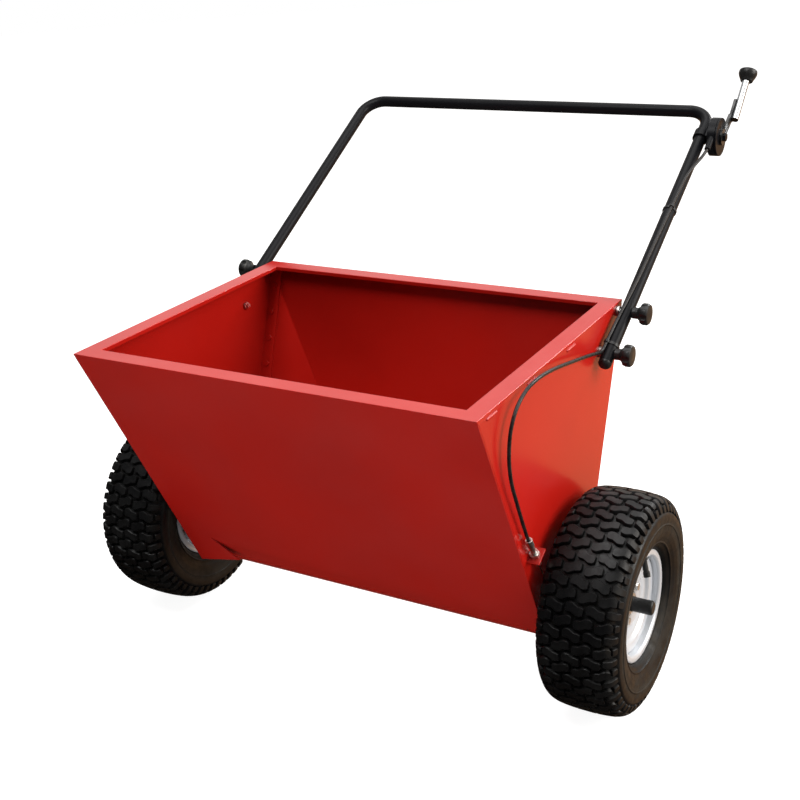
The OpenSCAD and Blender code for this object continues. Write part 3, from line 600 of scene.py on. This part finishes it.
def wheel_metal(mark, side, body):
    """Painted rim barrel and two-step disc, the axle cap and the valve."""
    centre = Vector((side * TYRE_X, AXLE.y, AXLE.z))
    barrel = [
        (0.0730, -0.043), (0.0762, -0.0458), (0.0820, -0.0460), (0.0838, -0.0448), (0.0838, -0.0432),
        (0.0768, -0.0425), (0.0765, -0.019), (0.0682, -0.0125), (0.0682, 0.0125), (0.0765, 0.019),
        (0.0768, 0.0425), (0.0838, 0.0432), (0.0838, 0.0448), (0.0820, 0.0460), (0.0762, 0.0458),
        (0.0732, 0.0428), (0.0728, 0.0345), (0.0728, 0.020), (0.0652, 0.0135), (0.0652, -0.0135),
        (0.0728, -0.019), (0.0730, -0.030)
    ]
    bm = bmesh.new()
    loop = rounded(barrel + [barrel[0]], 1.3 * MM, 4)[:-1]
    lathe(bm, loop, centre, side, 144)
    paint(add_object(f"{mark}_rim_barrel_finished", mesh_of(bm, "rim_barrel", 50), body,
                     (f"{mark}_rim_barrel",)), SILVER)
    disc = [
        (0.0727, 0.0225), (0.0727, 0.0342), (0.0705, 0.0352), (0.0640, 0.0347), (0.0600, 0.0340),
        (0.0578, 0.0325), (0.0545, 0.0288), (0.0520, 0.0278), (0.0380, 0.0284), (0.0355, 0.0296),
        (0.0320, 0.0296), (0.0295, 0.0284), (0.0176, 0.0280), (0.0172, 0.0252), (0.0520, 0.0250),
        (0.0580, 0.0310), (0.0700, 0.0312), (0.0700, 0.0225)
    ]
    bm = bmesh.new()
    lathe(bm, rounded(disc + [disc[0]], 1.2 * MM, 4)[:-1], centre, side, 144)
    paint(add_object(f"{mark}_wheel_disc_finished", mesh_of(bm, "wheel_disc", 50), body,
                     (f"{mark}_wheel_disc",)), SILVER)
    bevelled(f"{mark}_hub", 0.8 * MM, SILVER)
    low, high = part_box(f"{mark}_axle_cap")
    inner_x, outer_x = sorted((abs(low.x), abs(high.x)))
    r = (high.z - low.z) / 2
    cap = [
        (0.0102, inner_x), (r, inner_x), (r, inner_x + 3 * MM), (r - 0.5 * MM, inner_x + 3.6 * MM),
        (r - 0.5 * MM, outer_x - 5 * MM), (r - 0.9 * MM, outer_x - 2 * MM),
        (r - 3.2 * MM, outer_x - 0.3 * MM), (0.0002, outer_x), (0.0002, outer_x - 3 * MM),
        (0.0102, outer_x - 4 * MM)
    ]
    bm = bmesh.new()
    lathe(bm, rounded(cap, 1.0 * MM, 3), Vector((0, AXLE.y, AXLE.z)), side, 48)
    paint(add_object(f"{mark}_axle_cap_finished", mesh_of(bm, "axle_cap", 50), "drive_axle",
                     (f"{mark}_axle_cap",)), PLASTIC)
    bevelled(f"{mark}_valve_stem", 0.7 * MM, RUBBER)


for side, mark, body in ((1, "right", "drive_axle"), (-1, "left", "left_wheel")):
    tyre(f"{mark}_tyre_tread", side, body)
    wheel_metal(mark, side, body)

# ---------------------------------------------------------------- handle, knobs and lever
bevelled("handle_tube", 0.3 * MM, BLACK)
bevelled("handle_end_plugs", 0.6 * MM, PLASTIC)
bevelled("lever_clamp", 0.8 * MM, BLACK)
bevelled("lever_housing", 0.8 * MM, BLACK, 3)
bevelled("lever_disc", 0.8 * MM, BLACK, 3)
bevelled("cable_ties", 0.4 * MM, PLASTIC)
for mark in ("right", "left"):
    for place in ("pivot", "lock"):
        bevelled(f"{mark}_{place}_knob", 1.1 * MM, PLASTIC, 3)
bevelled("lever_arm", 0.6 * MM, LEVER)
bevelled("lever_knob", 1.2 * MM, PLASTIC, 3)
bevelled("lever_pivot_bolt", 0.5 * MM, BLACK)

# ---------------------------------------------------------------- control cable
LOWER_ROUTE = [
    (332.5, -349.2, 318.5), (332.5, -354.4, 327.6), (332.5, -359.5, 337), (333, -375, 370),
    (334, -391, 405), (335, -404, 435), (335.5, -410, 463), (336, -410, 487), (336, -404, 509),
    (336.5, -392, 527.5), (337, -375, 540), (337, -351, 547), (337, -320, 548), (337, -285, 544.5),
    (336.5, -249, 538), (336, -197, 527), (335, -143, 515), (334.5, -113, 507.5), (334, -98, 504),
    (333.5, -87, 504), (333.5, -78, 507.5)
]
UPPER_ROUTE = [
    (333.6, -71, 511.4), (334.5, -52, 522), (336, -30, 535), (341, 40, 574.5), (343, 110, 613.5),
    (345, 180, 652), (346, 215, 671.2), (347.5, 238, 684.2), (350.5, 253, 692.8), (355.3, 267, 701.4),
    (360.9, 280.5, 710.2), (364.3, 294.5, 718.8)
]
CASING_R = 2.5 * MM


def control_cable():
    """The jacketed cable from the adjuster to the lever housing, swept as one fixed tube."""
    route = [Vector(p) * MM for p in LOWER_ROUTE + UPPER_ROUTE]
    bm = bmesh.new()
    sweep(bm, smooth_path(route, 8), CASING_R, 16)
    cable = paint(add_object("control_cable", mesh_of(bm, "control_cable")), JACKET)
    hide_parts("cable_lower", "cable_upper")
    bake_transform(cable)


control_cable()

# ---------------------------------------------------------------- floor, light and camera
PAPER_GLOW = 0.93
STAGE_R = 12
SKY_SIDE = (0.35, 0.75, 0.55)  # the direction that the sky is brightest in
SKY_RAMP = (-0.25, 0.65, 0.03, 1.0)  # cosine to that direction, from and to, and the strength there
HORIZON_RAMP = (-0.06, 0.10, 0.0, 1.0)
SKY_COLOR = (1.0, 0.985, 0.965)
GROUND_COLOR = (0.75, 0.42, 0.20)


def stage():
    """Glowing white paper under the cart, and a white wall all round that only closes the view."""
    paper = Look("studio_paper", (0.34, 0.34, 0.34), 0.9, specular_ior_level=0.0,
                 emission_strength=PAPER_GLOW)
    paper.shader.inputs["Emission Color"].default_value = (1, 1, 1, 1)
    paper.color(paper.mix(paper.noise(1.5), (0.33, 0.33, 0.33), (0.35, 0.35, 0.35)))
    wall = Look("studio_wall", (0.0, 0.0, 0.0), 1.0, specular_ior_level=0.0, emission_strength=1.0)
    wall.shader.inputs["Emission Color"].default_value = (1, 1, 1, 1)
    bm = bmesh.new()
    bmesh.ops.create_circle(bm, cap_ends=True, segments=96, radius=STAGE_R)
    floor = paint(add_object("studio_floor", mesh_of(bm, "studio_floor")), paper.material)
    floor.visible_glossy = False
    bm = bmesh.new()
    bmesh.ops.create_uvsphere(bm, u_segments=96, v_segments=48, radius=STAGE_R)
    backdrop = paint(add_object("studio_wall", mesh_of(bm, "studio_wall")), wall.material)
    for kind in ("diffuse", "glossy", "shadow", "transmission", "volume_scatter"):
        setattr(backdrop, f"visible_{kind}", False)


def area_light(name, at, aim, size, power, color=(1, 1, 1)):
    """A rectangular lamp at a place, aimed at another, that the camera doesn't see."""
    data = bpy.data.lights.new(name, "AREA")
    data.shape = "RECTANGLE"
    data.size, data.size_y = size
    data.energy = power
    data.color = color
    lamp = bpy.data.objects.new(name, data)
    bpy.context.scene.collection.objects.link(lamp)
    lamp.visible_camera = False
    lamp.location = at
    lamp.rotation_euler = (Vector(aim) - Vector(at)).to_track_quat("-Z", "Y").to_euler()


def lights():
    """A white sky over warm ground, brighter behind and to the right, and four lamps: see their names."""
    world = bpy.data.worlds.new("studio")
    world.use_nodes = True
    nodes, links = world.node_tree.nodes, world.node_tree.links

    def ramp(value, limits):
        made = nodes.new("ShaderNodeMapRange")
        made.interpolation_type = "SMOOTHSTEP"
        links.new(value, made.inputs["Value"])
        for socket, limit in zip(("From Min", "From Max", "To Min", "To Max"), limits):
            made.inputs[socket].default_value = limit
        return made.outputs["Result"]

    heading = nodes.new("ShaderNodeTexCoord").outputs["Generated"]
    toward = nodes.new("ShaderNodeVectorMath")
    toward.operation = "DOT_PRODUCT"
    links.new(heading, toward.inputs[0])
    toward.inputs[1].default_value = Vector(SKY_SIDE).normalized()
    height = nodes.new("ShaderNodeSeparateXYZ")
    links.new(heading, height.inputs[0])
    tint = nodes.new("ShaderNodeMix")
    tint.data_type = "RGBA"
    links.new(ramp(height.outputs["Z"], HORIZON_RAMP), tint.inputs["Factor"])
    tint.inputs[6].default_value = (*GROUND_COLOR, 1)
    tint.inputs[7].default_value = (*SKY_COLOR, 1)
    background = nodes["Background"]
    links.new(tint.outputs[2], background.inputs["Color"])
    links.new(ramp(toward.outputs["Value"], SKY_RAMP), background.inputs["Strength"])
    bpy.context.scene.world = world
    area_light("key", (3.6, 0.9, 1.9), (0.3, -0.1, 0.4), (2.2, 2.2), 190, (1.0, 0.96, 0.90))
    area_light("top", (0.2, 0.5, 3.4), (0, -0.1, 0.4), (2.4, 2.4), 62)
    area_light("inside", (-0.2, -1.3, 3.2), (0, 0.1, 0.45), (1.4, 1.4), 70)
    area_light("edge", (1.5, 2.9, 2.2), (0, 0, 0.5), (0.7, 0.7), 45)


CAMERA_AT = (0.9257, -1.6065, 1.1225)


def camera():
    """The photographed view: position, heading, downward tilt and roll."""
    az, el, roll = math.radians(29.95), math.radians(24.08), math.radians(-3.44)
    forward = Vector((-math.sin(az) * math.cos(el), math.cos(az) * math.cos(el), -math.sin(el)))
    right = Vector((math.cos(az), math.sin(az), 0))
    up = right.cross(forward)
    right, up = (
        math.cos(roll) * right + math.sin(roll) * up,
        math.cos(roll) * up - math.sin(roll) * right,
    )
    data = bpy.data.cameras.new("camera")
    data.lens = 53.37
    data.sensor_width = 36
    data.shift_x, data.shift_y = -0.0475, 0.0295
    data.clip_end = 50
    eye = bpy.data.objects.new("camera", data)
    bpy.context.scene.collection.objects.link(eye)
    eye.matrix_world = Matrix.Translation(CAMERA_AT) @ Matrix(
        (right, up, -forward)
    ).transposed().to_4x4()
    bpy.context.scene.camera = eye


stage()
lights()
camera()
bpy.context.scene.view_settings.view_transform = "Standard"
